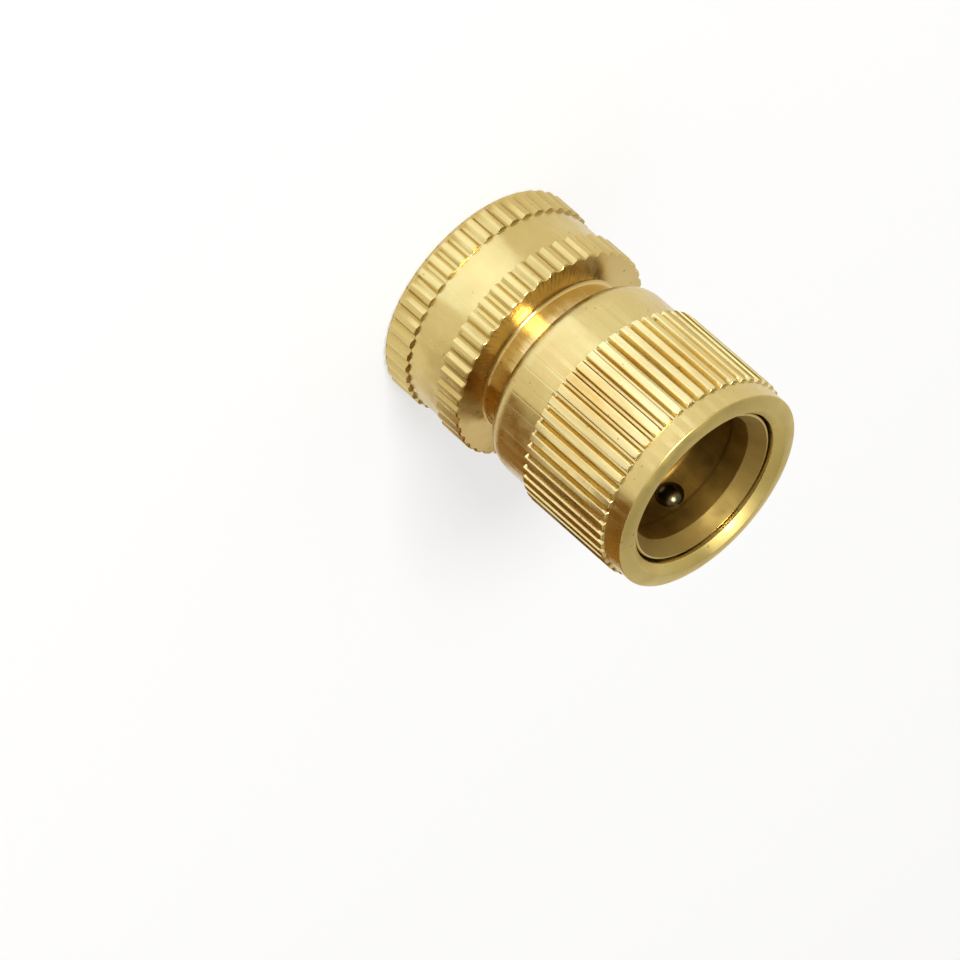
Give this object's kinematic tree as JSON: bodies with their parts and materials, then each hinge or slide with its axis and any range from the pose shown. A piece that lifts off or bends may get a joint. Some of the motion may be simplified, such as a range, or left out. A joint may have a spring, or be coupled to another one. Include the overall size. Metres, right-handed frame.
{
  "type": "garden hose quick connector",
  "caption": "Turned brass hose coupling: female threaded knurled end, neck, and a plug socket whose spring-loaded knurled collar releases locking balls.",
  "frame": {"origin": "centre of the female threaded end's rim, on the surface the part stands on", "axes": "+Z along the flow axis, from the threaded end to the mouth of the plug socket; +X and +Y through the locking balls"},
  "size_m": [0.0292, 0.0292, 0.0411],
  "materials": {
    "body_brass": "turned brass, bright and slightly dulled",
    "collar_brass": "turned and straight-knurled brass",
    "spring_steel": "drawn stainless spring wire",
    "ring_steel": "stamped stainless spring steel",
    "ball_steel": "polished stainless steel ball",
    "seal_rubber": "moulded black nitrile rubber"
  },
  "bodies": {
    "body": {"connector_body": "body_brass", "plug_seal": "seal_rubber", "hose_washer": "seal_rubber", "return_spring": "spring_steel"},
    "carrier": {"retaining_ring": "ring_steel"},
    "collar": {"release_collar": "collar_brass"},
    "ball_1": {"locking_ball_1": "ball_steel"},
    "ball_2": {"locking_ball_2": "ball_steel"},
    "ball_3": {"locking_ball_3": "ball_steel"},
    "ball_4": {"locking_ball_4": "ball_steel"}
  },
  "joints": [
    {"name": "collar_slide", "type": "slide", "parent": "body", "child": "carrier", "axis": [0, 0, 1], "range_m": [-0.0037, 0], "stiffness_N_per_m": 400, "springref_m": 0.008, "deforming": ["return_spring"]},
    {"name": "collar_turn", "type": "hinge", "parent": "carrier", "child": "collar", "pos_m": [0, 0, 0.03], "axis": [0, 0, 1], "continuous": true},
    {"name": "ball_1_lift", "type": "slide", "parent": "body", "child": "ball_1", "axis": [1, 0, 0], "range_m": [0, 0.0009]},
    {"name": "ball_2_lift", "type": "slide", "parent": "body", "child": "ball_2", "axis": [0, 1, 0], "range_m": [0, 0.0009]},
    {"name": "ball_3_lift", "type": "slide", "parent": "body", "child": "ball_3", "axis": [-1, 0, 0], "range_m": [0, 0.0009]},
    {"name": "ball_4_lift", "type": "slide", "parent": "body", "child": "ball_4", "axis": [0, -1, 0], "range_m": [0, 0.0009]}
  ],
  "couplings": [
    {"joint": "ball_1_lift", "follows": "collar_slide", "ratio": -0.24189},
    {"joint": "ball_2_lift", "follows": "collar_slide", "ratio": -0.24189},
    {"joint": "ball_3_lift", "follows": "collar_slide", "ratio": -0.24189},
    {"joint": "ball_4_lift", "follows": "collar_slide", "ratio": -0.24189}
  ]
}
